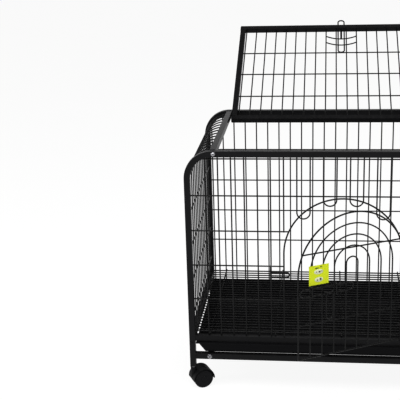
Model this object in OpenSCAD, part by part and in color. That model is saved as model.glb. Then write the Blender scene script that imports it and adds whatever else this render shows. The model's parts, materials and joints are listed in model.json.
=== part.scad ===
// Wire dog crate on swivel casters: square-tube frame, welded wire panels, a lid hinged at
// the back and shown leaning open, an arched front door shown ajar, and a slide-out tray.
// +X is to the right of the door, +Y to the back, +Z up. The floor is at z = 0.

/* [Frame] */
// Width over the posts
crate_w = 846; // [700:2:1000]
// Depth over the posts
crate_d = 512; // [440:2:640]
// Height of the top rails above the floor
crate_h = 695.5; // [650:0.5:770]
// Outside size of the square tube
tube = 16; // [14:1:20]
// Wall of the square tube
tube_wall = 1.2; // [0.8:0.1:2]
// Radius of the post bends, on the tube's centreline
bend_r = 68; // [50:1:90]

/* [Levels] */
// Underside of the posts
post_foot_z = 66; // [65:0.5:76]
// Centre of the bottom rails
bottom_rail_z = 99.5; // [98:0.5:104]
// Centre of the rails that carry the floor
floor_rail_z = 155; // [155:0.5:165]

/* [Wire panels] */
// Diameter of the panel wires
wire_d = 3.5; // [2.5:0.1:3.6]
// Diameter of the doorway, door edge and latch wires
heavy_d = 4; // [3:0.1:5]
// Spacing of the upright wires
wire_pitch = 35; // [30:1:45]
// Spacing of the cross wires
row_pitch = 100; // [80:1:110]
// Height of the highest full cross wire
row_top_z = 570; // [550:1:590]
// Spacing of the floor grate's wires
grate_pitch = 18; // [12:1:30]

/* [Lid] */
// Width of the lid frame
lid_w = 668; // [560:2:668]
// Length of the lid frame, back to front
lid_len = 470; // [380:1:477]
// Lid frame behind the pivot line
lid_tail = 24; // [24:0.5:30.5]
// How far the open lid leans back, above the level
lid_lean = 28.4; // [28.4:0.1:60]
// Spacing of the lid's long wires
lid_pitch = 33; // [28:1:40]
// Length of the lid's latch loop
lid_loop_len = 176; // [120:1:200]
// How far the latch loop reaches past the lid's front edge
lid_loop_reach = 50; // [20:1:60]

/* [Door] */
// Radius of the doorway's arch
doorway_r = 157.5; // [140:0.5:157.5]
// Radius of the door's outer arch
door_r = 157; // [140:0.5:157]
// How far the door stands open
door_swing = 28.5; // [10:0.5:60]
// Height of the door's bottom bar
door_foot_z = 171; // [170:1:200]
// Height of the door's top
door_top_z = 557; // [530:1:557]
// Length of the door's slide bolt
bolt_len = 159; // [120:1:160]
// Height of the slide bolt
bolt_z = 358; // [340:1:358]

/* [Tray] */
// Width over the tray's lip
tray_w = 808; // [700:2:808]
// Length of the tray, front to back
tray_len = 478; // [400:2:484]
// Depth of the tray
tray_depth = 32; // [15:1:32]
// Thickness of the tray's sheet
tray_t = 1.6; // [1:0.1:3]

/* [Casters] */
// Radius of the wheels
wheel_r = 27.5; // [22:0.5:27.5]
// Width of one wheel of the twin pair
wheel_w = 16; // [10:0.5:18]
// Distance from the swivel axis to the axle
trail = 24; // [18:1:26]
// How far the casters have swivelled from the crate's width
caster_turn = 28; // [0:1:90]

/* [Hidden] */
$fn = 48;

powder_black = [0.06, 0.06, 0.065];
plastic_black = [0.05, 0.05, 0.055];
bright_steel = [0.75, 0.75, 0.76];
tag_yellow = [0.8, 0.87, 0.08];

half = tube / 2;
weld = 0.1;       // how far welded wires sink into each other
seam = 0.02;      // hairline between the stretches of a bent panel wire
post_x = crate_w / 2 - half;
depth = crate_d - tube;              // between the front and back tube centrelines
top_z = crate_h - half;              // centreline of the top rails
bend_x = post_x - bend_r;            // where the bends end
bend_z = top_z - bend_r;             // where the bends begin
rail_x = bend_x - 10;                // end of each post, start of the front and back rails
top_tube_x = rail_x + half;          // centreline of the side top tubes
floor_top = floor_rail_z + half;
cross_gap = wire_d - weld;           // between the layers of a wire panel
heavy_gap = (wire_d + heavy_d) / 2 - weld;

// The lid pivot and the rest of the lid are placed from the back rail.
pivot_z = top_z;
pivot_setback = 40;                  // pivot line ahead of the back rail's centreline
lid_reach = lid_len - lid_tail;      // from the pivot to the front edge
lid_loop_n = half + heavy_d / 2 + 0.1;
loop_r = 10;                         // end radius of both latch loops, on the centreline
lid_tip = lid_reach + lid_loop_reach;

// The door hangs on rings round the doorway's right leg.
hinge_x = doorway_r;
ring_r = heavy_d / 2 + 0.06 + wire_d / 2;
door_v = ring_r + wire_d / 2 + heavy_d / 2 - weld;
bolt_v = door_v + wire_d / 2 + ring_r + wire_d / 2 + 0.2;
bolt_tip = 2 * door_r;               // reach of the bolt's rounded end from the hinge

// Front plane of the crate, set so that the origin is under the middle of the whole object.
far_y = depth - pivot_setback + (lid_tip - heavy_d / 2) * cos(lid_lean) + lid_loop_n * sin(lid_lean)
    + heavy_d / 2;
near_y = -heavy_gap - (bolt_tip - heavy_d / 2) * sin(door_swing) - bolt_v * cos(door_swing)
    - heavy_d / 2;
front_y = -(far_y + near_y) / 2;
back_y = front_y + depth;
mid_y = front_y + depth / 2;
pivot_y = back_y - pivot_setback;
hinge_y = front_y - heavy_gap;

wire_xs = [for (i = [-12 : 11]) (i + 0.5) * wire_pitch];
side_ys = [for (i = [-7 : 6]) mid_y + (i + 0.5) * wire_pitch];
inner_bend = bend_r - half;
row_zs = [for (i = [0 : 3]) row_top_z - i * row_pitch];
top_wire_z = crate_h - tube - 7;

// How far the front and back wires can run before they meet the bent posts.
function panel_top(x) =
    let (over = abs(x) + wire_d / 2 + seam - bend_x)
    over > 0 ? bend_z + sqrt(pow(inner_bend, 2) - pow(over, 2)) : top_z - half;
function panel_end(z) =
    let (over = z + wire_d / 2 + seam - bend_z)
    over > 0 ? bend_x + sqrt(pow(inner_bend, 2) - pow(over, 2)) : post_x - half;

// ---- building blocks ----

// Square tube along +Z from the origin.
module tube_z(length) {
    bore = tube - 2 * tube_wall;
    difference() {
        translate([-half, -half, 0]) cube([tube, tube, length]);
        translate([-bore / 2, -bore / 2, -1]) cube([bore, bore, length + 2]);
    }
}

module tube_x(x1, x2, y, z) {
    translate([x1, y, z]) rotate([0, 90, 0]) tube_z(x2 - x1);
}

module tube_y(y1, y2, x, z) {
    translate([x, y1, z]) rotate([-90, 0, 0]) tube_z(y2 - y1);
}

module wire_x(x1, x2, y, z, d = wire_d) {
    translate([x1, y, z]) rotate([0, 90, 0]) cylinder(h = x2 - x1, d = d);
}

module wire_y(y1, y2, x, z, d = wire_d) {
    translate([x, y1, z]) rotate([-90, 0, 0]) cylinder(h = y2 - y1, d = d);
}

module wire_z(z1, z2, x, y, d = wire_d) {
    translate([x, y, z1]) cylinder(h = z2 - z1, d = d);
}

// Bent wire in the XY plane round the origin, from angle a1 to a2.
module wire_arc(r, a1, a2, d = wire_d) {
    rotate([0, 0, a1]) rotate_extrude(angle = a2 - a1, $fn = 96) translate([r, 0]) circle(d = d, $fn = 32);
}

// The same standing in the XZ plane.
module wire_arc_up(r, a1, a2, d = wire_d) {
    rotate([90, 0, 0]) wire_arc(r, a1, a2, d);
}

// Closed latch loop in the XZ plane, its long sides along X, from x = 0 to x = -length.
module latch_loop(length, r, d) {
    run = length - 2 * r - d;
    for (side = [-1, 1]) wire_x(-run - r - d / 2, -r - d / 2, 0, side * r, d);
    translate([-r - d / 2, 0, 0]) wire_arc_up(r, -90, 90, d);
    translate([-run - r - d / 2, 0, 0]) wire_arc_up(r, 90, 270, d);
}

// Staple of wire: two legs along -Y from y = 0, joined by an upright bar at -reach.
module staple(reach, half_span, d) {
    for (side = [-1, 1]) {
        wire_y(-reach, 0, 0, side * half_span, d);
        translate([0, -reach, side * half_span]) sphere(d = d);
    }
    wire_z(-half_span, half_span, 0, -reach, d);
}

// Carriage bolt with a domed head, its axis along +Y and its head's underside at y = 0.
module carriage_bolt(shank) {
    dome_r = 7.5;
    head_h = 3.6;
    intersection() {
        translate([0, dome_r - head_h, 0]) sphere(r = dome_r);
        translate([0, -head_h - 1, 0]) rotate([-90, 0, 0]) cylinder(h = head_h + 1, r = dome_r);
    }
    rotate([-90, 0, 0]) cylinder(h = shank, r = 3);
}

// ---- square-tube frame ----

// One post: foot to bend, the bend, and the short level end with its bolt hole.
module post(side, y) {
    bore = tube - 2 * tube_wall;
    difference() {
        translate([0, y, 0]) mirror([side < 0 ? 1 : 0, 0, 0]) {
            translate([post_x, 0, post_foot_z]) tube_z(bend_z - post_foot_z);
            translate([bend_x, 0, bend_z]) rotate([90, 0, 0])
                rotate_extrude(angle = 90, $fn = 128) translate([bend_r, 0]) difference() {
                    square(tube, center = true);
                    square(bore, center = true);
                }
            tube_x(rail_x, bend_x, 0, top_z);
        }
        translate([side * (top_tube_x - 2), y, top_z]) rotate([90, 0, 0])
            cylinder(h = 2 * tube, r = 3.2, center = true);
    }
}

module front_left_post() { color(powder_black) post(-1, front_y); }
module front_right_post() { color(powder_black) post(1, front_y); }
module back_left_post() { color(powder_black) post(-1, back_y); }
module back_right_post() { color(powder_black) post(1, back_y); }

// Side top tubes, drilled for the lid's pivot bolts.
module side_top_tubes() {
    color(powder_black) difference() {
        for (side = [-1, 1]) tube_y(front_y + half, back_y - half, side * top_tube_x, top_z);
        translate([0, pivot_y, pivot_z]) rotate([0, 90, 0])
            cylinder(h = crate_w, r = 3.05, center = true);
    }
}

module front_top_rail() { color(powder_black) tube_x(-rail_x, rail_x, front_y, top_z); }
module back_top_rail() { color(powder_black) tube_x(-rail_x, rail_x, back_y, top_z); }

module long_rail(y, z) { tube_x(-post_x + half, post_x - half, y, z); }

module front_floor_rail() { color(powder_black) long_rail(front_y, floor_rail_z); }
module front_bottom_rail() { color(powder_black) long_rail(front_y, bottom_rail_z); }
module back_bottom_rail() { color(powder_black) long_rail(back_y, bottom_rail_z); }

module side_floor_rails() {
    color(powder_black) for (side = [-1, 1])
        tube_y(front_y + half, back_y - half, side * post_x, floor_rail_z);
}

runner_x = 365;

module tray_runners() {
    color(powder_black) for (side = [-1, 1])
        tube_y(front_y + half, back_y - half, side * runner_x, bottom_rail_z);
}

pad_h = 5;
tray_z = bottom_rail_z + half + pad_h;

// Pads on the runners' ends, which the tray slides on.
module tray_pads() {
    color(plastic_black) for (side = [-1, 1], y = [front_y + tube, back_y - tube])
        translate([side * runner_x - half, y - half, bottom_rail_z + half])
            cube([tube, tube, pad_h]);
}

insert_w = tube - 2 * tube_wall - 0.4;

// Nylon inserts that join the post ends to the front and back rails.
module rail_inserts() {
    insert_len = 46;
    color(plastic_black) for (side = [-1, 1], y = [front_y, back_y]) difference() {
        translate([side * (bend_x - insert_len / 2), y, top_z])
            cube([insert_len, insert_w, insert_w], center = true);
        translate([side * (top_tube_x - 2), y, top_z]) rotate([90, 0, 0])
            cylinder(h = tube, r = 3.2, center = true);
    }
}

// Bright bolts: through the post ends at the top, and through the bottom rails.
module frame_bolts() {
    color(bright_steel) for (side = [-1, 1], back = [0, 1]) {
        y = back ? back_y : front_y;
        translate([side * (top_tube_x - 2), y, top_z]) mirror([0, back, 0])
            translate([0, -half, 0]) carriage_bolt(tube + 9);
        translate([side * (runner_x + 2), y, bottom_rail_z]) mirror([0, back, 0])
            translate([0, -half - 3.2, 0]) rotate([-90, 0, 0]) cylinder(h = 3.2, r = 5.5, $fn = 6);
    }
}

// Black plugs in the spare holes of the posts.
module post_plugs() {
    color(plastic_black) for (side = [-1, 1], back = [0, 1])
        translate([side * post_x, back ? back_y : front_y, floor_rail_z - 13]) mirror([0, back, 0])
            translate([0, -half - 1.2, 0]) rotate([-90, 0, 0]) cylinder(h = 1.2, r1 = 2.6, r2 = 3.4);
}

// Plastic sockets that hold the caster stems in the posts.
module caster_sockets() {
    color(plastic_black) for (x = [-post_x, post_x], y = [front_y, back_y])
        translate([x, y, post_foot_z]) difference() {
            translate([-insert_w / 2, -insert_w / 2, 0]) cube([insert_w, insert_w, 34]);
            translate([0, 0, -1]) cylinder(h = 36, r = 4.05);
        }
}

// ---- front panel ----

doorway_foot = floor_top;
doorway_spring = row_top_z - wire_d / 2 - heavy_d / 2 - 0.1 - doorway_r;
front_top = top_z - half;
// Wires over the doorway: the outer x of each joined pair and the height of its rounded foot.
hairpins = [[3.5, 18], [1.5, 18]];

// Two neighbouring uprights joined by a rounded foot that hangs below the arch.
module hairpin(x, drop) {
    r = wire_pitch / 2;
    mid = x - r;
    foot = doorway_spring + sqrt(pow(doorway_r, 2) - pow(mid, 2)) - drop + r;
    for (s = [-1, 1]) wire_z(foot + seam, front_top, mid + s * r, front_y);
    translate([mid, front_y, foot]) wire_arc_up(r, 180, 360);
}

module front_upright_wires() {
    color(powder_black) {
        for (x = wire_xs) if (abs(x) > doorway_r + 1) wire_z(floor_top, panel_top(x), x, front_y);
        for (s = [-1, 1]) {
            wire_z(row_zs[1], front_top, s * 4.5 * wire_pitch, front_y);
            for (h = hairpins) mirror([s < 0 ? 1 : 0, 0, 0]) hairpin(h[0] * wire_pitch, h[1]);
        }
    }
}

module front_cross_wires() {
    y = front_y + cross_gap;
    end = post_x - half;
    color(powder_black) {
        for (z = [top_wire_z, row_zs[0], floor_top + 10]) wire_x(-panel_end(z), panel_end(z), y, z);
        for (z = [row_zs[1], row_zs[2], row_zs[3]], s = [-1, 1]) {
            rise = max(0, z - doorway_spring);
            inner = sqrt(pow(doorway_r, 2) - pow(rise, 2));
            wire_x(s < 0 ? -end : inner, s < 0 ? -inner : end, y, z);
        }
    }
}

module doorway_wire() {
    color(powder_black) {
        for (s = [-1, 1]) wire_z(doorway_foot, doorway_spring, s * doorway_r, hinge_y, heavy_d);
        translate([0, hinge_y, doorway_spring]) wire_arc_up(doorway_r, 0, 180, heavy_d);
    }
}

// Hairpin bar behind the latch side of the doorway.
module door_stop() {
    stop_r = 7;
    stop_x = -doorway_r + 14;
    color(powder_black) translate([stop_x - stop_r, front_y + heavy_gap, bolt_z - 13]) {
        wire_arc_up(stop_r, -90, 90, heavy_d);
        for (s = [-1, 1]) wire_x(-5.5 * wire_pitch - stop_x + stop_r, 0, 0, s * stop_r, heavy_d);
    }
}

keeper_reach = bolt_v + heavy_gap + heavy_d + 0.6 - wire_d / 2;

// Staple on the panel that the extended slide bolt passes behind.
module latch_keeper() {
    color(powder_black) translate([-5.5 * wire_pitch, front_y - wire_d / 2 + weld, bolt_z])
        staple(keeper_reach, 18, heavy_d);
}

// ---- back panel, sides and floor ----

module back_upright_wires() {
    color(powder_black) for (x = wire_xs) wire_z(bottom_rail_z + half, panel_top(x), x, back_y);
}

module back_cross_wires() {
    color(powder_black)
        for (z = concat([top_wire_z, floor_top - wire_d / 2], row_zs))
            wire_x(-panel_end(z), panel_end(z), back_y - cross_gap, z);
}

// Uprights of the left side: straight to the bend, then round it to the top tube.
module side_upright_wires() {
    end_angle = 180 - acos((bend_r - (top_tube_x + half - bend_x)) / bend_r);
    arc_end = asin(1) - asin((top_tube_x + half - bend_x) / bend_r);
    half_arc = arc_end / 2;
    gap = seam / bend_r * 180 / PI;
    for (y = side_ys) {
        wire_z(floor_top, bend_z - seam, -post_x, y);
        for (i = [0, 1]) translate([-bend_x, y, bend_z])
            wire_arc_up(bend_r, 180 - (i + 1) * half_arc + gap, 180 - i * half_arc);
    }
}

module side_cross_wires() {
    r = bend_r - cross_gap;
    y1 = front_y + half;
    y2 = back_y - half;
    for (z = row_zs) wire_y(y1, y2, -post_x + cross_gap, z - row_pitch / 2);
    for (a = [0, 45]) wire_y(y1, y2, -bend_x - r * cos(a), bend_z + r * sin(a));
}

module left_upright_wires() { color(powder_black) side_upright_wires(); }
module left_cross_wires() { color(powder_black) side_cross_wires(); }
module right_upright_wires() { color(powder_black) mirror([1, 0, 0]) side_upright_wires(); }
module right_cross_wires() { color(powder_black) mirror([1, 0, 0]) side_cross_wires(); }

support_z = floor_top + heavy_d / 2;

module grate_wires() {
    count = floor((depth - 2 * tube - grate_pitch / 2) / grate_pitch);
    color(powder_black) for (i = [-count / 2 : count / 2])
        wire_x(-post_x + half + 3, post_x - half - 3, mid_y + i * grate_pitch, support_z + heavy_gap);
}

module grate_supports() {
    color(powder_black) for (x = [-365, -182.5, 0, 182.5, 365])
        wire_y(front_y + 4.6, back_y - wire_d / 2 - 0.2, x, support_z, heavy_d);
}

// ---- lid, drawn closed with its pivot line at the origin, then leaned open ----

module lid_open() {
    translate([0, pivot_y, pivot_z]) rotate([lid_lean - 180, 0, 0]) children();
}

lid_half = lid_w / 2;
lid_wire_xs = [for (i = [-10 : 9]) (i + 0.5) * lid_pitch];

// Bolts through the side top tubes into the lid's side tubes.
module lid_pivot_bolts() {
    color(powder_black) translate([0, pivot_y, pivot_z]) for (s = [0, 1]) mirror([s, 0, 0]) {
        bolt_end = lid_half - tube + 1;
        translate([bolt_end, 0, 0]) rotate([0, 90, 0])
            cylinder(h = top_tube_x + half - bolt_end, r = 3);
        translate([top_tube_x + half, 0, 0]) rotate([0, 90, 0]) cylinder(h = 3, r1 = 6, r2 = 4.5);
    }
}

module lid_end_tubes() {
    color(powder_black) lid_open() for (y = [lid_tail - half, half - lid_reach])
        tube_x(-lid_half, lid_half, y, 0);
}

module lid_side_tubes() {
    color(powder_black) lid_open() difference() {
        for (s = [-1, 1]) tube_y(tube - lid_reach, lid_tail - tube, s * (lid_half - half), 0);
        rotate([0, 90, 0]) cylinder(h = crate_w, r = 3.06, center = true);
    }
}

// Thin plastic caps in the ends of the lid's front and back tubes.
module lid_tube_caps() {
    color(plastic_black) lid_open() for (y = [lid_tail - half, half - lid_reach], s = [0, 1])
        mirror([s, 0, 0]) translate([lid_half, y, 0]) {
            translate([-9, -insert_w / 2, -insert_w / 2]) cube([9, insert_w, insert_w]);
            translate([0, -half + 1, -half + 1]) cube([1, tube - 2, tube - 2]);
        }
}

module lid_long_wires() {
    color(powder_black) lid_open() for (x = lid_wire_xs)
        wire_y(tube - lid_reach, lid_tail - tube, x, 0);
}

lid_rows = [lid_reach - tube - 128, lid_reach - tube - 236, lid_reach - tube - 344];

module lid_cross_wires() {
    end = lid_half - tube;
    color(powder_black) lid_open() for (t = lid_rows) wire_x(-end, end, -t, -cross_gap);
}

guide_ts = [lid_reach - tube - 31, lid_reach - tube - 64];

// Bowed guides that hold the latch loop down, welded to the long wires either side of it.
module lid_latch_guides() {
    span = 1.5 * lid_pitch;
    foot = cross_gap;
    rise = lid_loop_n + (heavy_d + wire_d) / 2 + 0.8 - foot;
    bow_r = (pow(span, 2) + pow(rise, 2)) / (2 * rise);
    half_angle = asin(span / bow_r);
    color(powder_black) lid_open() for (t = guide_ts)
        translate([0, -t, foot + rise - bow_r])
            wire_arc_up(bow_r, 90 - half_angle, 90 + half_angle);
}

// Short round bar on the lid's front tube, between the sides of the latch loop.
module lid_latch_bar() {
    color(powder_black) lid_open() wire_y(tube - lid_reach, tube - lid_reach + 44, 0, 3.4, 6);
}

module lid_latch_loop() {
    color(powder_black) lid_open() translate([0, -lid_tip, lid_loop_n])
        rotate([0, 0, -90]) rotate([90, 0, 0]) latch_loop(lid_loop_len, loop_r, heavy_d);
}

// ---- door, drawn closed with its hinge line at the origin, then swung open ----
// A closed door reaches towards -X, and its outer face is towards -Y.

module door_open() {
    translate([hinge_x, hinge_y, 0]) rotate([0, 0, door_swing]) children();
}

arch_step = 35;
arch_rise = 4.7;
door_spring = door_top_z - door_r;

// Door wire of arch number k: 0 is the outer edge.
module door_arch(k, foot, d) {
    r = door_r - k * arch_step;
    spring = door_spring + k * arch_rise;
    for (s = [-1, 1]) wire_z(foot, spring, s * r, 0, d);
    translate([0, 0, spring]) wire_arc_up(r, 0, 180, d);
}

module door_frame_wire() {
    color(powder_black) door_open() translate([-door_r, -door_v, 0]) {
        door_arch(0, door_foot_z, heavy_d);
        wire_x(-door_r, door_r, 0, door_foot_z, heavy_d);
        for (s = [-1, 1]) translate([s * door_r, 0, door_foot_z]) sphere(d = heavy_d);
    }
}

module door_arch_wires() {
    color(powder_black) door_open() translate([-door_r, -door_v, 0])
        for (k = [1 : 4]) door_arch(k, door_foot_z + heavy_d / 2, wire_d);
}

// Cross bars on the inner face of the door.
module door_cross_bars() {
    color(powder_black) door_open() translate([-door_r, -door_v + cross_gap, 0])
        for (z = [door_top_z - 97, door_foot_z + 94]) {
            rise = max(0, z - door_spring);
            reach = sqrt(pow(door_r, 2) - pow(rise, 2)) + 1;
            wire_x(-reach, reach, 0, z);
        }
}

module door_hinge_rings() {
    color(powder_black) door_open() for (z = [bolt_z - 19, bolt_z - 149])
        translate([0, 0, z]) wire_arc(ring_r, 0, 360);
}

guide_us = [door_r + 122, door_r + 52];

// Staples on the door's uprights that the slide bolt runs in.
module door_latch_guides() {
    reach = bolt_v - door_v - wire_d / 2 + (heavy_d + wire_d) / 2 + 0.4;
    color(powder_black) door_open() for (u = guide_us)
        translate([-u, -door_v - wire_d / 2 + weld, bolt_z]) staple(reach, 14.5, wire_d);
}

module door_latch_bolt() {
    color(powder_black) door_open() translate([-bolt_tip + bolt_len, -bolt_v, bolt_z])
        latch_loop(bolt_len, loop_r, heavy_d);
}

handle_u = door_r + 69;

// Pull handle that hangs from the bolt's lower side on two eyes.
module door_latch_handle() {
    eye_r = ring_r;
    pull_r = 10;
    drop = 62;
    color(powder_black) door_open() translate([-handle_u, -bolt_v, bolt_z - loop_r]) {
        for (s = [-1, 1]) {
            translate([s * pull_r, 0, 0]) rotate([0, 90, 0]) wire_arc(eye_r, 0, 360);
            wire_z(-drop, -eye_r - wire_d / 2 + 0.4, s * pull_r, 0);
        }
        translate([0, 0, -drop]) wire_arc_up(pull_r, 180, 360);
    }
}

// Plain card tag on the door's wires.
module hang_tag() {
    tag = [57, 0.8, 54];
    color(tag_yellow) door_open()
        translate([-door_r - 127, -door_v - wire_d / 2 - tag[1], door_top_z - 182])
            cube(tag);
}

// ---- tray ----

// Sheet pan with sloping walls and a level lip.
module tray() {
    lip = 5;
    slope = 20;
    front = front_y - 16;
    rim_z = tray_z + tray_depth;
    foot_x = tray_w / 2 - lip - slope;
    foot_y1 = front + lip + slope / 2;
    foot_y2 = front + tray_len - lip - slope;
    color(plastic_black) translate([0, 0, 0.1]) difference() {
        union() {
            hull() {
                translate([-foot_x, foot_y1, tray_z]) cube([2 * foot_x, foot_y2 - foot_y1, 0.1]);
                translate([-foot_x - slope, front + lip, rim_z - 0.1])
                    cube([2 * (foot_x + slope), tray_len - 2 * lip, 0.1]);
            }
            translate([-tray_w / 2, front, rim_z - 2.4]) cube([tray_w, tray_len, 2.4]);
        }
        hull() {
            translate([-foot_x + tray_t, foot_y1 + tray_t, tray_z + tray_t])
                cube([2 * (foot_x - tray_t), foot_y2 - foot_y1 - 2 * tray_t, 0.1]);
            translate([-foot_x - slope + tray_t, front + lip + tray_t, rim_z + 1])
                cube([2 * (foot_x + slope - tray_t), tray_len - 2 * (lip + tray_t), 0.1]);
        }
    }
}

// ---- casters: drawn with the swivel axis at the origin and the trail towards +X ----

web_w = 8;             // width of the housing between the wheels
hood_r = wheel_r + 4;

module caster_place(side, y) {
    translate([side * post_x, y, 0]) mirror([side > 0 ? 1 : 0, 0, 0])
        rotate([0, 0, caster_turn]) children();
}

// Cylinder across the caster, centred on the axle.
module across(r, width) {
    translate([trail, 0, wheel_r]) rotate([90, 0, 0]) cylinder(h = width, r = r, center = true);
}

// Hood over both wheels, the web between them and the neck that takes the stem.
module caster_housing() {
    hood_w = 2 * wheel_w + web_w + 3;
    neck_top = post_foot_z - 3;
    difference() {
        union() {
            difference() {
                union() {
                    across(hood_r, hood_w);
                    translate([0, 0, wheel_r + 6]) cylinder(h = neck_top - wheel_r - 6, r = 8.5);
                }
                for (s = [-1, 1]) translate([0, s * (web_w / 2 - 0.4 + 15), 0]) across(wheel_r + 1.2, 30);
                translate([trail - 50, -50, -50 + wheel_r - 1]) cube([100, 100, 50]);
            }
            across(8, web_w - 0.8);
        }
        across(4.06, 60);
        translate([0, 0, wheel_r + 12]) cylinder(h = 60, r = 4.02);
    }
}

module caster_stem() {
    translate([0, 0, wheel_r + 12.1]) cylinder(h = post_foot_z + 30 - wheel_r - 12.1, r = 4);
    translate([0, 0, post_foot_z - 2.9]) cylinder(h = 2.5, r = 6.5);
}

// One wheel: inner face at y = 0, outer face towards +Y, with a dished hub.
module wheel() {
    rotate([-90, 0, 0]) rotate_extrude($fn = 96) polygon([
        [4, 0], [wheel_r - 1.5, 0], [wheel_r, 1.5], [wheel_r, wheel_w - 2.5],
        [wheel_r - 2.5, wheel_w], [wheel_r - 5, wheel_w], [wheel_r - 6, wheel_w - 0.8],
        [9, wheel_w - 0.8], [7.5, wheel_w + 0.6], [0, wheel_w + 0.6], [0, wheel_w - 2], [4, wheel_w - 2],
    ]);
}

// Both wheels on their common axle.
module caster_wheels() {
    translate([trail, 0, wheel_r]) {
        for (s = [0, 1]) mirror([0, s, 0]) translate([0, web_w / 2, 0]) wheel();
        rotate([90, 0, 0]) cylinder(h = web_w + 2 * wheel_w - 5, r = 3.98, center = true);
    }
}

module front_left_housing() { color(plastic_black) caster_place(-1, front_y) caster_housing(); }
module front_left_stem() { color(bright_steel) caster_place(-1, front_y) caster_stem(); }
module front_left_wheels() { color(plastic_black) caster_place(-1, front_y) caster_wheels(); }
module front_right_housing() { color(plastic_black) caster_place(1, front_y) caster_housing(); }
module front_right_stem() { color(bright_steel) caster_place(1, front_y) caster_stem(); }
module front_right_wheels() { color(plastic_black) caster_place(1, front_y) caster_wheels(); }
module back_left_housing() { color(plastic_black) caster_place(-1, back_y) caster_housing(); }
module back_left_stem() { color(bright_steel) caster_place(-1, back_y) caster_stem(); }
module back_left_wheels() { color(plastic_black) caster_place(-1, back_y) caster_wheels(); }
module back_right_housing() { color(plastic_black) caster_place(1, back_y) caster_housing(); }
module back_right_stem() { color(bright_steel) caster_place(1, back_y) caster_stem(); }
module back_right_wheels() { color(plastic_black) caster_place(1, back_y) caster_wheels(); }

front_left_post();
front_right_post();
back_left_post();
back_right_post();
side_top_tubes();
front_top_rail();
back_top_rail();
front_floor_rail();
side_floor_rails();
front_bottom_rail();
back_bottom_rail();
tray_runners();
tray_pads();
rail_inserts();
frame_bolts();
post_plugs();
caster_sockets();
front_upright_wires();
front_cross_wires();
doorway_wire();
door_stop();
latch_keeper();
back_upright_wires();
back_cross_wires();
left_upright_wires();
left_cross_wires();
right_upright_wires();
right_cross_wires();
grate_wires();
grate_supports();
lid_pivot_bolts();
lid_end_tubes();
lid_side_tubes();
lid_tube_caps();
lid_long_wires();
lid_cross_wires();
lid_latch_guides();
lid_latch_bar();
lid_latch_loop();
door_frame_wire();
door_arch_wires();
door_cross_bars();
door_hinge_rings();
door_latch_guides();
door_latch_bolt();
door_latch_handle();
hang_tag();
tray();
front_left_housing();
front_left_stem();
front_left_wheels();
front_right_housing();
front_right_stem();
front_right_wheels();
back_left_housing();
back_left_stem();
back_left_wheels();
back_right_housing();
back_right_stem();
back_right_wheels();
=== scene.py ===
import bpy
import bmesh
import json
import math
import random
import numpy as np
from mathutils import Matrix, Vector


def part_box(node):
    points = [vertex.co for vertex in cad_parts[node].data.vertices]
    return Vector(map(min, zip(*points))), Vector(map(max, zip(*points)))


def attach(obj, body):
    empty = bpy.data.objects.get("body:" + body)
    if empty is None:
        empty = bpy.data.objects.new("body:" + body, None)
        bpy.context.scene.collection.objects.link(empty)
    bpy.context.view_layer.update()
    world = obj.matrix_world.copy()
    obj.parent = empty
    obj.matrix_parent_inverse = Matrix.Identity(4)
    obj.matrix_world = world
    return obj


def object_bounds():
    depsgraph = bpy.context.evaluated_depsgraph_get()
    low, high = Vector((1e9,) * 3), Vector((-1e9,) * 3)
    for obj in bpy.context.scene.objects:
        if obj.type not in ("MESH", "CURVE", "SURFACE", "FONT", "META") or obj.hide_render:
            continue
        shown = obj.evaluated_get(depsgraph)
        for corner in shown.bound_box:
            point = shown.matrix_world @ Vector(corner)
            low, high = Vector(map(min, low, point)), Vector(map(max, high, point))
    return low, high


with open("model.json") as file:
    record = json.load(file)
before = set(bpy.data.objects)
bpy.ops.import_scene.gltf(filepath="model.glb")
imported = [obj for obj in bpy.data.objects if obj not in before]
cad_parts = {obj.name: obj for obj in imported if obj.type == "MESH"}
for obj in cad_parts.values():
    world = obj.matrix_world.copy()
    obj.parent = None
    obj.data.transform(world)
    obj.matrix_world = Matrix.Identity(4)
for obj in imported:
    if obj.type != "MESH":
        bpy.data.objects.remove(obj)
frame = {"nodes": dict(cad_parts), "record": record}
cad_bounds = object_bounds()
record = frame["record"]
random.seed(7)

MM = 0.001
TUBE_HALF = 8 * MM      # half the side of the square tube
WIRE_R = 1.75 * MM      # radius of the panel, lid and door wires

RIGHT = Vector((1, 0, 0))
BACK = Vector((0, 1, 0))
UP = Vector((0, 0, 1))


# ---- shader arithmetic ----

class Sock:
    """A shader output that takes part in ordinary arithmetic."""

    def __init__(self, graph, link):
        self.graph, self.link = graph, link

    def op(self, name, a, b):
        return self.graph.add("ShaderNodeMath", {"operation": name}, {0: a, 1: b})

    def __add__(self, other):
        return self.op("ADD", self, other)

    def __radd__(self, other):
        return self.op("ADD", other, self)

    def __sub__(self, other):
        return self.op("SUBTRACT", self, other)

    def __rsub__(self, other):
        return self.op("SUBTRACT", other, self)

    def __mul__(self, other):
        return self.op("MULTIPLY", self, other)

    def __rmul__(self, other):
        return self.op("MULTIPLY", other, self)


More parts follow.
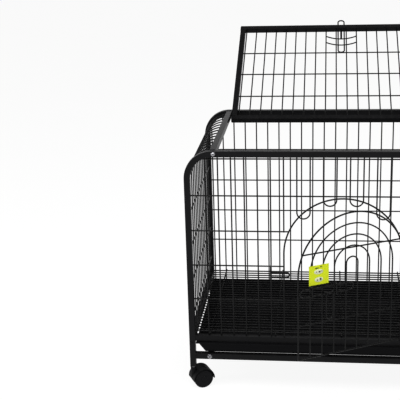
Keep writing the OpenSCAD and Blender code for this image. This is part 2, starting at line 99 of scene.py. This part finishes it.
class Graph:
    """A node tree and the kinds of node that the finishes and the surroundings are made of."""

    def __init__(self, tree):
        self.tree = tree

    def add(self, kind, settings, sockets, out=0):
        node = self.tree.nodes.new(kind)
        for key, value in settings.items():
            setattr(node, key, value)
        for key, value in sockets.items():
            self.feed(node.inputs[key], value)
        return Sock(self, node.outputs[out])

    def feed(self, socket, value):
        if isinstance(value, Sock):
            self.tree.links.new(value.link, socket)
        else:
            socket.default_value = value

    def place(self, stretch=(1, 1, 1)):
        """Where a point lies on its piece; a low stretch draws the pattern out along that axis."""
        at = self.add("ShaderNodeTexCoord", {}, {}, "Object")
        if stretch == (1, 1, 1):
            return at
        return self.add("ShaderNodeVectorMath", {"operation": "MULTIPLY"}, {0: at, 1: stretch})

    def noise(self, size_mm, detail, stretch=(1, 1, 1)):
        """Smooth noise from 0 to 1 whose features are about size_mm across."""
        return self.add("ShaderNodeTexNoise", {}, {
            "Vector": self.place(stretch), "Scale": 1000 / size_mm, "Detail": detail, "Roughness": 0.55})

    def cells(self, size_mm):
        """Flat-toned cells about size_mm across."""
        return self.add("ShaderNodeTexVoronoi", {}, {"Vector": self.place(), "Scale": 1000 / size_mm})

    def ramp(self, value, low, high, first=0.0, last=1.0):
        """first where the value is below low, last where it's above high, smooth between them."""
        return self.add("ShaderNodeMapRange", {"interpolation_type": "SMOOTHSTEP"}, {
            "Value": value, "From Min": low, "From Max": high, "To Min": first, "To Max": last})

    def blend(self, amount, a, b):
        return self.add("ShaderNodeMix", {"data_type": "RGBA"}, {0: amount, 6: a, 7: b}, 2)

    def facing_up(self):
        """1 on faces that look straight up, 0 on upright ones, below 0 underneath."""
        normal = self.add("ShaderNodeTexCoord", {}, {}, "Normal")
        return self.add("ShaderNodeSeparateXYZ", {}, {0: normal}, 2)

    def bump(self, height, depth_mm, strength, base=None):
        sockets = {"Height": height, "Distance": depth_mm * MM, "Strength": strength}
        if base is not None:
            sockets["Normal"] = base
        return self.add("ShaderNodeBump", {}, sockets)


class Finish(Graph):
    """One node material: a Principled surface and whatever feeds it."""

    def __init__(self, name):
        self.material = bpy.data.materials.new(name)
        self.material.use_nodes = True
        super().__init__(self.material.node_tree)
        self.tree.nodes.clear()
        self.shader = self.tree.nodes.new("ShaderNodeBsdfPrincipled")
        out = self.tree.nodes.new("ShaderNodeOutputMaterial")
        self.tree.links.new(self.shader.outputs[0], out.inputs[0])

    def finish(self, **sockets):
        for key, value in sockets.items():
            self.feed(self.shader.inputs[key.replace("_", " ")], value)
        return self.material


def grey(tone, tint=0.0):
    """Grey with its blue raised by the share tint."""
    return (tone, tone, tone * (1 + tint), 1.0)


def powder_coat(name, tone, rough, peel_mm, dust, shine):
    """Black powder coat: orange peel, uneven gloss, fine dust on top and a few pale chips."""
    g = Finish(name)
    cloud = g.noise(90, 2)
    peel = g.noise(peel_mm, 2)
    grit = g.noise(0.5, 3)
    chips = g.ramp(g.noise(5.5, 5), 0.735, 0.765)
    settled = g.ramp(g.facing_up(), 0.5, 0.95) * g.ramp(g.noise(14, 4), 0.35, 0.75) * dust
    coat = g.blend(cloud, grey(tone * 0.75, 0.05), grey(tone * 1.3, 0.08))
    coat = g.blend(settled, coat, (0.12, 0.117, 0.11, 1))
    colour = g.blend(chips * 0.35, coat, grey(0.06, 0.03))
    normal = g.bump(peel, 0.12, 0.5, g.bump(grit, 0.02, 0.3))
    gloss = rough + (cloud - 0.5) * 0.16 + settled * 0.25 + chips * 0.15
    return g.finish(Base_Color=colour, Roughness=gloss, Normal=normal, Specular_IOR_Level=shine)


def nylon(name, tone, rough, grain_mm, scuffs):
    """Moulded black nylon with a spark-eroded grain, flow marks and grey scuffs."""
    g = Finish(name)
    flow = g.noise(30, 3, (1, 1, 0.35))
    grain = g.noise(grain_mm, 2)
    scuff = g.ramp(g.noise(6, 6, (1, 1, 3)), 0.62, 0.75) * scuffs
    colour = g.blend(flow, grey(tone * 0.8, 0.06), grey(tone * 1.25, 0.1))
    colour = g.blend(scuff, colour, (0.05, 0.049, 0.047, 1))
    return g.finish(Base_Color=colour, Roughness=rough + (flow - 0.5) * 0.12 + scuff * 0.2,
                    Normal=g.bump(grain, 0.06, 0.45), Specular_IOR_Level=0.10)


def gloss_sheet():
    """Glossy black tray sheet: slow waves from forming, drag scratches along its travel, crumbs of dust."""
    g = Finish("tray_gloss")
    wave = g.noise(70, 1)
    scratch = g.ramp(g.noise(1.6, 4, (1, 0.03, 1)), 0.6, 0.72)
    dust = g.ramp(g.facing_up(), 0.6, 1.0) * g.ramp(g.noise(9, 6), 0.45, 0.8)
    colour = g.blend(dust * 0.35, grey(0.015, 0.1), (0.035, 0.034, 0.032, 1))
    colour = g.blend(scratch * 0.3, colour, grey(0.04))
    normal = g.bump(scratch, 0.02, 0.3, g.bump(wave, 0.5, 0.35))
    return g.finish(Base_Color=colour, Roughness=0.16 + wave * 0.1 + dust * 0.25 + scratch * 0.12,
                    Coat_Weight=0.12, Coat_Roughness=0.06, Specular_IOR_Level=0.0, Normal=normal)


def zinc():
    """Bright zinc plating with faint spangle, rubbed spots and a little dark grime."""
    g = Finish("zinc_plate")
    spangle = g.cells(1.8)
    cloud = g.noise(4, 4)
    grime = g.ramp(g.noise(2.2, 5), 0.58, 0.72)
    colour = g.blend(spangle, (0.34, 0.34, 0.36, 1), (0.46, 0.46, 0.47, 1))
    colour = g.blend(grime * 0.5, colour, (0.10, 0.10, 0.09, 1))
    return g.finish(Base_Color=colour, Metallic=1.0, Roughness=0.18 + cloud * 0.16 + grime * 0.2,
                    Normal=g.bump(cloud, 0.03, 0.4))


def card(name, colour, other):
    """Coated card: paper tooth, slight print mottle and a soft sheen."""
    g = Finish(name)
    fibre = g.noise(0.35, 4, (1, 1, 0.5))
    mottle = g.noise(11, 4)
    return g.finish(Base_Color=g.blend(mottle * 0.5 + fibre * 0.3, colour, other),
                    Roughness=0.42 + mottle * 0.14, Normal=g.bump(fibre, 0.02, 0.5))


def floor_finish():
    """Matte floor, partly lit from within so that its tone is even out to the horizon."""
    g = Finish("studio_floor")
    cloud = g.noise(400, 3)
    grain = g.noise(3, 3)
    return g.finish(Base_Color=g.blend(cloud, grey(0.095), grey(0.105)),
                    Roughness=0.75 + grain * 0.1, Normal=g.bump(grain, 0.05, 0.2), Specular_IOR_Level=0.0,
                    Emission_Color=grey(1), Emission_Strength=0.93)


FINISHES = {
    "black_tube": powder_coat(
        "tube_powder_coat", tone=0.018, rough=0.32, peel_mm=1.6, dust=0.08, shine=0.16),
    "black_wire": powder_coat(
        "wire_powder_coat", tone=0.006, rough=0.26, peel_mm=0.8, dust=0.04, shine=0.40),
    "bright_steel": zinc(),
    "black_plastic": nylon("black_nylon", tone=0.016, rough=0.42, grain_mm=0.7, scuffs=0.35),
    "wheel_plastic": nylon("wheel_nylon", tone=0.018, rough=0.36, grain_mm=1.1, scuffs=0.6),
    "tray_plastic": gloss_sheet(),
    "tag_card": card("tag_print", (0.66, 0.74, 0.010, 1), (0.76, 0.84, 0.025, 1)),
}
PALE_PRINT = card("tag_pale_print", (0.78, 0.80, 0.62, 1), (0.70, 0.74, 0.50, 1))
DARK_PRINT = card("tag_dark_print", (0.05, 0.07, 0.04, 1), (0.08, 0.09, 0.05, 1))
# painted shade: near-black finish of the flat crosses that stand in for the shadow inside the screw slots
RECESS_SHADOW = nylon("recess_shadow", tone=0.006, rough=0.7, grain_mm=0.5, scuffs=0.1)


def coat_cad_nodes():
    """Give every CAD node the finish of its material slot."""
    slot_of = {part["node"]: part["material_slot"] for part in record["subparts"]}
    for node, obj in frame["nodes"].items():
        finish = FINISHES[slot_of[node]]
        if obj.material_slots:
            for held in obj.material_slots:
                held.material = finish
        else:
            obj.data.materials.append(finish)


coat_cad_nodes()


# ---- building pieces ----

def piece(name, mesh, material, body):
    """Add a piece made from a mesh or bmesh: it rides on a body."""
    data = mesh
    if isinstance(mesh, bmesh.types.BMesh):
        data = bpy.data.meshes.new(name)
        mesh.to_mesh(data)
        mesh.free()
    obj = bpy.data.objects.new(name, data)
    bpy.context.scene.collection.objects.link(obj)
    data.materials.append(material)
    for face in data.polygons:
        face.use_smooth = True
    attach(obj, body)


def blob_template(rings=4, sides=8):
    """Points and faces of a small round drop of unit size."""
    points = [(0.0, 0.0, -1.0)]
    for ring in range(1, rings):
        tall = math.pi * ring / rings - math.pi / 2
        points += [(math.cos(tall) * math.cos(a), math.cos(tall) * math.sin(a), math.sin(tall))
                   for a in (2 * math.pi * k / sides for k in range(sides))]
    points.append((0.0, 0.0, 1.0))
    faces = [(0, 1 + (k + 1) % sides, 1 + k) for k in range(sides)]
    for ring in range(rings - 2):
        a, b = 1 + ring * sides, 1 + (ring + 1) * sides
        faces += [(a + k, a + (k + 1) % sides, b + (k + 1) % sides, b + k) for k in range(sides)]
    last = 1 + (rings - 2) * sides
    faces += [(last + k, last + (k + 1) % sides, len(points) - 1) for k in range(sides)]
    return np.array(points), faces


BLOB_POINTS, BLOB_FACES = blob_template()


def add_loop(mesh, points, radius, sides):
    """Round tube along a closed path of points; radius may be a list, one for each point."""
    count = len(points)
    radii = radius if isinstance(radius, list) else [radius] * count
    rings = []
    side = (points[1] - points[-1]).normalized().orthogonal().normalized()
    for i, at in enumerate(points):
        run = (points[(i + 1) % count] - points[i - 1]).normalized()
        side = (side - run * side.dot(run)).normalized()
        across = run.cross(side)
        rings.append([mesh.verts.new(at + radii[i] * (side * math.cos(a) + across * math.sin(a)))
                      for a in (2 * math.pi * k / sides for k in range(sides))])
    for a, b in zip(rings, rings[1:] + rings[:1]):
        for k in range(sides):
            mesh.faces.new((a[k], a[(k + 1) % sides], b[(k + 1) % sides], b[k]))


def middle(node):
    """Middle of a CAD node's box."""
    low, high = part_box(node)
    return (Vector(low) + Vector(high)) / 2


def joint_named(name):
    return next(joint for joint in record["behaviour"]["joints"] if joint["name"] == name)


def add_plate(mesh, outline, thickness, bevel):
    """Flat plate from an outline of points, thickened along its own normal, with a softened rim."""
    face = mesh.faces.new([mesh.verts.new(p) for p in outline])
    mesh.normal_update()
    normal = face.normal.copy()
    centre = sum(outline, Vector()) / len(outline)
    low = list(face.verts)
    high = [mesh.verts.new(v.co + normal * (thickness - bevel)) for v in low]
    cap = [mesh.verts.new(v.co + normal * thickness + (centre - v.co).normalized() * bevel) for v in low]
    count = len(low)
    for a, b in ((low, high), (high, cap)):
        for k in range(count):
            mesh.faces.new((a[k], a[(k + 1) % count], b[(k + 1) % count], b[k]))
    mesh.faces.new(cap)
    mesh.faces.remove(face)
    mesh.faces.new(low[::-1])


# ---- weld marks, found where the CAD wires cross ----

LONG_EDGE = 12 * MM             # mesh edges longer than this run along a wire
SAME_WIRE = 2.3 * WIRE_R        # edges whose ends are this close belong to one wire
PARALLEL = 1e-9                 # smallest cross product of two wires that aren't parallel, in square metres
END_SLACK = 3 * MM              # how far past its end a wire still counts as crossing
WELD_REACH = 2.4 * WIRE_R       # greatest distance between the axes of two welded wires
WELD_SPREAD = 1.15 * WIRE_R     # radius of a weld drop between its wires
WELD_DEPTH = 0.55 * WIRE_R      # half its thickness, from wire to wire


def long_edges(node):
    """The mesh edges that run along a node's wires, as two arrays of end points."""
    data = frame["nodes"][node].data
    spots = np.empty(len(data.vertices) * 3)
    data.vertices.foreach_get("co", spots)
    spots = spots.reshape(-1, 3)
    ends = np.empty(len(data.edges) * 2, dtype=int)
    data.edges.foreach_get("vertices", ends)
    ends = ends.reshape(-1, 2)
    a, b = spots[ends[:, 0]], spots[ends[:, 1]]
    long_enough = np.linalg.norm(b - a, axis=1) > LONG_EDGE
    return a[long_enough], b[long_enough]


def straight_wires(node):
    """(start, end) of the axis of each straight wire in a node, from its parallel long edges."""
    wires = []
    for p, q in zip(*long_edges(node)):
        if tuple(q) < tuple(p):
            p, q = q, p
        for wire in wires:
            first_p, first_q = wire[0]
            if np.linalg.norm(first_p - p) < SAME_WIRE and np.linalg.norm(first_q - q) < SAME_WIRE:
                wire.append((p, q))
                break
        else:
            wires.append([(p, q)])
    axes = []
    for wire in wires:
        start = np.array([p for p, q in wire])
        end = np.array([q for p, q in wire])
        axes.append(((start.min(0) + start.max(0)) / 2, (end.min(0) + end.max(0)) / 2))
    return axes


def crossings(first, second):
    """Midpoints between wires of two lists that are welded together, and the way between them."""
    marks = []
    for p1, q1 in first:
        d1 = q1 - p1
        for p2, q2 in second:
            d2 = q2 - p2
            normal = np.cross(d1, d2)
            size = np.linalg.norm(normal)
            if size < PARALLEL:
                continue
            apart = p2 - p1
            if abs(apart @ normal) / size > WELD_REACH:
                continue
            s = np.cross(apart, d2) @ normal / size ** 2
            t = np.cross(apart, d1) @ normal / size ** 2
            slack1, slack2 = END_SLACK / np.linalg.norm(d1), END_SLACK / np.linalg.norm(d2)
            if -slack1 < s < 1 + slack1 and -slack2 < t < 1 + slack2:
                a, b = p1 + s * d1, p2 + t * d2
                marks.append((Vector((a + b) / 2), Vector(b - a).normalized()))
    return marks


def weld_marks(name, body, pairs):
    """A flattened drop of weld metal at each crossing, all in one piece."""
    points, faces = [], []
    for first, second in pairs:
        for at, way in crossings(straight_wires(first), straight_wires(second)):
            spread = WELD_SPREAD * random.uniform(0.85, 1.15)
            turn = np.array(way.to_track_quat("Z", "Y").to_matrix())
            drop = BLOB_POINTS * (spread, spread, WELD_DEPTH)
            faces += [tuple(k + len(points) for k in face) for face in BLOB_FACES]
            points += (drop @ turn.T + np.array(at)).tolist()
    data = bpy.data.meshes.new(name)
    data.from_pydata(points, [], faces)
    piece(name, data, FINISHES["black_wire"], body)


weld_marks("panel_welds", "crate", [
    ("front_upright_wires", "front_cross_wires"), ("back_upright_wires", "back_cross_wires"),
    ("left_upright_wires", "left_cross_wires"), ("right_upright_wires", "right_cross_wires"),
    ("grate_wires", "grate_supports")])
weld_marks("lid_welds", "lid", [("lid_long_wires", "lid_cross_wires")])
weld_marks("door_welds", "door", [("door_arch_wires", "door_cross_bars")])


# ---- weld beads where square tubes meet ----

BEAD_LIFT = 0.1 * MM        # the bead's core stands this far off the tube's sides
BEAD_SETBACK = 0.7 * MM     # and this far in from the tube's end
BEAD_STEPS = 8              # stretches of bead along each side of the tube


def tube_bead(mesh, centre, side, across, corner, thin_mm, thick_mm):
    """Uneven weld bead round a square tube's end; corner is how far from each edge it turns."""
    points, radii = [], []
    for out, along in ((side, across), (across, -side), (-side, -across), (-across, side)):
        for step in range(BEAD_STEPS + 1):
            slide = (step / BEAD_STEPS * 2 - 1) * (TUBE_HALF - corner)
            points.append(centre + out * (TUBE_HALF + BEAD_LIFT) + along * slide)
            radii.append(random.uniform(thin_mm, thick_mm) * MM)
    add_loop(mesh, points, radii, sides=8)


def crate_beads():
    """Beads at both ends of the crate's level tubes."""
    ends = []
    for rail in ("front_floor_rail", "front_bottom_rail", "back_bottom_rail"):
        low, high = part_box(rail)
        at = middle(rail)
        ends.append((Vector((low[0] + BEAD_SETBACK, at.y, at.z)), -RIGHT))
        ends.append((Vector((high[0] - BEAD_SETBACK, at.y, at.z)), RIGHT))
    for pair in ("side_floor_rails", "tray_runners", "side_top_tubes"):
        low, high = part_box(pair)
        z = middle(pair).z
        for x in (low[0] + TUBE_HALF, high[0] - TUBE_HALF):
            ends.append((Vector((x, low[1] + BEAD_SETBACK, z)), -BACK))
            ends.append((Vector((x, high[1] - BEAD_SETBACK, z)), BACK))
    beads = bmesh.new()
    for centre, outward in ends:
        tube_bead(beads, centre, UP, outward.cross(UP), 1.4 * MM, 0.9, 1.35)
    piece("tube_weld_beads", beads, FINISHES["black_tube"], "crate")


def lid_beads():
    """Beads where the leaning lid's side tubes meet its end tubes."""
    hinge = joint_named("lid_hinge")
    pivot = Vector(hinge["pos_m"])
    lean = math.radians(180 - hinge["range_deg"][1])
    along_lid = Vector((0, math.cos(lean), math.sin(lean)))
    off_lid = Vector((0, math.sin(lean), -math.cos(lean)))
    low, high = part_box("lid_end_tubes")
    side_x = (high[0] - low[0]) / 2 - TUBE_HALF
    spots = np.array([v.co[:] for v in frame["nodes"]["lid_side_tubes"].data.vertices])
    runs = (spots - np.array(pivot)) @ np.array(along_lid)
    beads = bmesh.new()
    for side in (-1, 1):
        for run in (runs.min() + BEAD_SETBACK, runs.max() - BEAD_SETBACK):
            centre = pivot + along_lid * run + RIGHT * side * side_x
            tube_bead(beads, centre, off_lid, RIGHT, 1.5 * MM, 0.8, 1.2)
    piece("lid_weld_beads", beads, FINISHES["black_tube"], "lid")


crate_beads()
lid_beads()


# ---- screws on the bottom rails ----

ROUND = 40                  # points round a washer or an oval
SCREW_ASIDE = 2 * MM        # from a tray runner's middle out to its screws
HEAD_HEIGHT = 3.2 * MM
SLOT_LONG = 3.2 * MM        # half the length of a cross slot
SLOT_WIDE = 0.6 * MM        # half the width of a cross slot
SLOT_RISE = 0.15 * MM
WASHER_R = 6 * MM
WASHER_WIRE_R = 0.8 * MM
WASHER_RISE = 0.4 * MM


def cross_slot_shade(mesh, at, outward):
    """Flat near-black cross raised on a screw head: painted shade standing in for the shadow inside its
    cross slot, turned as the screwdriver left it.
    """
    across = outward.cross(UP).normalized()
    turned = math.radians(random.uniform(0, 90))
    outline = []
    for quarter in range(4):
        angle = turned + quarter * math.pi / 2
        for u, v in ((SLOT_LONG, SLOT_WIDE), (SLOT_WIDE, SLOT_WIDE), (SLOT_WIDE, SLOT_LONG)):
            aside = u * math.cos(angle) - v * math.sin(angle)
            rise = u * math.sin(angle) + v * math.cos(angle)
            outline.append(at + across * aside + UP * rise)
    low = [mesh.verts.new(p) for p in outline]
    high = [mesh.verts.new(p + outward * SLOT_RISE) for p in outline]
    mesh.faces.new(low)
    mesh.faces.new(high[::-1])
    for k in range(len(outline)):
        mesh.faces.new((low[k], low[k - 1], high[k - 1], high[k]))


def rail_screws():
    """Painted shade of the cross slots, and the washers, of the four screws that hold the tray runners."""
    slot_shades = bmesh.new()
    washers = bmesh.new()
    screw_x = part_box("tray_runners")[1][0] - TUBE_HALF + SCREW_ASIDE
    z = middle("front_bottom_rail").z
    front_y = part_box("front_bottom_rail")[0][1]
    back_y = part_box("back_bottom_rail")[1][1]
    for y, outward in ((front_y, -BACK), (back_y, BACK)):
        for side in (-1, 1):
            head = Vector((side * screw_x, y, z))
            cross_slot_shade(slot_shades, head + outward * HEAD_HEIGHT, outward)
            ring = [head + outward * WASHER_RISE + WASHER_R * Vector((math.cos(a), 0, math.sin(a)))
                    for a in (2 * math.pi * k / ROUND for k in range(ROUND))]
            add_loop(washers, ring, WASHER_WIRE_R, sides=8)
    piece("screw_slot_shades", slot_shades, RECESS_SHADOW, "crate")
    piece("screw_washers", washers, FINISHES["bright_steel"], "crate")


rail_screws()


# ---- print and rim of the tag ----

PRINT_LIFT_MM = 0.05        # the print starts this far off the card
PRINT_THICK = 0.10 * MM
PRINT_BEVEL = 0.03 * MM
PALE_OVALS = ((-1, 9, 13.5, 7), (0, -12.5, 12.5, 7))    # middle and half sizes in mm, across and up
SMALL_MARKS = (
    (-6, 19.5, 6, 1.4), (6, 21.5, 4, 1.2), (-7, 9, 1.8, 2.2), (2, 9, 3.2, 2.6), (8.5, 10, 1.4, 1.8),
    (-4, -13, 1.6, 3.2), (5, -12, 2.4, 3.6))
RIM_HALF_WIDTH_MM = 27.6
RIM_HALF_HEIGHT_MM = 26.1
RIM_BEND_MM = 3
RIM_R = 0.25 * MM

door_hinge = joint_named("door_hinge")
door_swing = math.radians(-door_hinge["range_deg"][0])
hinge_at = Vector(door_hinge["pos_m"])
door_across = Vector((math.cos(door_swing), math.sin(door_swing), 0))
door_out = Vector((math.sin(door_swing), -math.cos(door_swing), 0))
tag_spots = [v.co.copy() for v in frame["nodes"]["hang_tag"].data.vertices]
tag_u = [(p - hinge_at).dot(door_across) for p in tag_spots]
tag_face = max((p - hinge_at).dot(door_out) for p in tag_spots)
tag_mid = hinge_at + door_across * (min(tag_u) + max(tag_u)) / 2 + door_out * tag_face
tag_mid.z = middle("hang_tag").z


def tag_point(u, w, out=0.0):
    """Point on the tag's face, in millimetres across, up and out from its middle."""
    return tag_mid + door_across * u * MM + UP * w * MM + door_out * out * MM


def tag_print(name, ovals, material):
    """Plain printed ovals, all in one piece."""
    mesh = bmesh.new()
    for u, w, half_u, half_w in ovals:
        turns = [2 * math.pi * k / ROUND for k in range(ROUND)]
        outline = [tag_point(u + half_u * math.cos(a), w + half_w * math.sin(a), PRINT_LIFT_MM)
                   for a in turns]
        add_plate(mesh, outline, PRINT_THICK, PRINT_BEVEL)
    piece(name, mesh, material, "door")


def tag_rim():
    """Raised rim with rounded corners round the tag's face."""
    straight_u = RIM_HALF_WIDTH_MM - RIM_BEND_MM
    straight_w = RIM_HALF_HEIGHT_MM - RIM_BEND_MM
    rim = []
    for side_u, side_w, start in ((1, 1, 0), (-1, 1, 90), (-1, -1, 180), (1, -1, 270)):
        for turn in range(start, start + 91, 15):
            a = math.radians(turn)
            rim.append(tag_point(side_u * straight_u + RIM_BEND_MM * math.cos(a),
                                 side_w * straight_w + RIM_BEND_MM * math.sin(a)))
    mesh = bmesh.new()
    add_loop(mesh, rim, RIM_R, sides=6)
    piece("tag_rim", mesh, FINISHES["tag_card"], "door")


tag_print("tag_ovals", PALE_OVALS, PALE_PRINT)
tag_print("tag_marks", SMALL_MARKS, DARK_PRINT)
tag_rim()


# ---- floor, light and camera, in metres and watts ----

FLOOR_HALF = 50
LENS_MM, SENSOR_MM = 90.72, 36.0
PITCH, YAW, ROLL = math.radians(17.46), math.radians(-7.47), math.radians(-1.81)
EYE_X = -0.0457
EYE_AHEAD = 2.563           # ahead of the front top rail
EYE_HEIGHT = 1.3719         # above the floor
SIGHT = 300                 # far enough to see the floor's edge
VIEW_GAMMA = 0.75           # below 1 it deepens the middle tones, so thin wires read dark

scene = bpy.context.scene
floor_z = cad_bounds[0][2]


def lay_floor():
    mesh = bmesh.new()
    bmesh.ops.create_grid(mesh, x_segments=2, y_segments=2, size=FLOOR_HALF)
    data = bpy.data.meshes.new("studio_floor")
    mesh.to_mesh(data)
    mesh.free()
    data.materials.append(floor_finish())
    floor = bpy.data.objects.new("studio_floor", data)
    floor.location.z = floor_z
    scene.collection.objects.link(floor)


def softbox(name, at, aim, size, power):
    """Rectangular light at one point that faces another."""
    light = bpy.data.lights.new(name, "AREA")
    light.shape = "RECTANGLE"
    light.size, light.size_y = size
    light.energy = power
    obj = bpy.data.objects.new(name, light)
    obj.location = at
    obj.rotation_euler = (Vector(aim) - Vector(at)).to_track_quat("-Z", "Y").to_euler()
    scene.collection.objects.link(obj)


def studio_air():
    """White surroundings: bright at the horizon and behind the crate, dim overhead and in front."""
    world = bpy.data.worlds.new("studio_air")
    world.use_nodes = True
    graph = Graph(world.node_tree)
    facing = graph.add("ShaderNodeTexCoord", {}, {}, "Generated")
    upward = graph.add("ShaderNodeSeparateXYZ", {}, {0: facing}, "Z")
    rearward = graph.add("ShaderNodeSeparateXYZ", {}, {0: facing}, "Y")
    strength = graph.ramp(upward, 0.15, 0.75, 1.0, 0.22) * graph.ramp(rearward, -0.9, -0.15, 0.35, 1.0)
    air = world.node_tree.nodes["Background"]
    graph.feed(air.inputs["Color"], grey(1))
    graph.feed(air.inputs["Strength"], strength)
    scene.world = world


def place_camera():
    """Camera in front of the crate and above it, looking down and to the left."""
    forward = Vector((math.sin(YAW) * math.cos(PITCH), math.cos(YAW) * math.cos(PITCH), -math.sin(PITCH)))
    level = Vector((math.cos(YAW), -math.sin(YAW), 0))
    top = level.cross(forward)
    camera_x = math.cos(ROLL) * level + math.sin(ROLL) * top
    camera_y = -math.sin(ROLL) * level + math.cos(ROLL) * top
    eye = Vector((EYE_X, middle("front_top_rail").y - EYE_AHEAD, floor_z + EYE_HEIGHT))
    data = bpy.data.cameras.new("camera")
    data.sensor_width = SENSOR_MM
    data.lens = LENS_MM
    data.clip_end = SIGHT
    camera = bpy.data.objects.new("camera", data)
    turn = Matrix((camera_x, camera_y, -forward)).transposed().to_4x4()
    camera.matrix_world = Matrix.Translation(eye) @ turn
    scene.collection.objects.link(camera)
    scene.camera = camera


lay_floor()
softbox("overhead", (0, -1.7, 3.2), (0, -0.2, 0.4), (3.4, 1.6), 85)
softbox("left_key", (-3.0, -1.6, 2.4), (0, 0, 0.4), (0.9, 1.8), 26)
softbox("right_fill", (3.2, 0.8, 2.2), (0, 0, 0.4), (1.2, 2.0), 16)
studio_air()
place_camera()
scene.view_settings.view_transform = "Standard"
scene.view_settings.gamma = VIEW_GAMMA
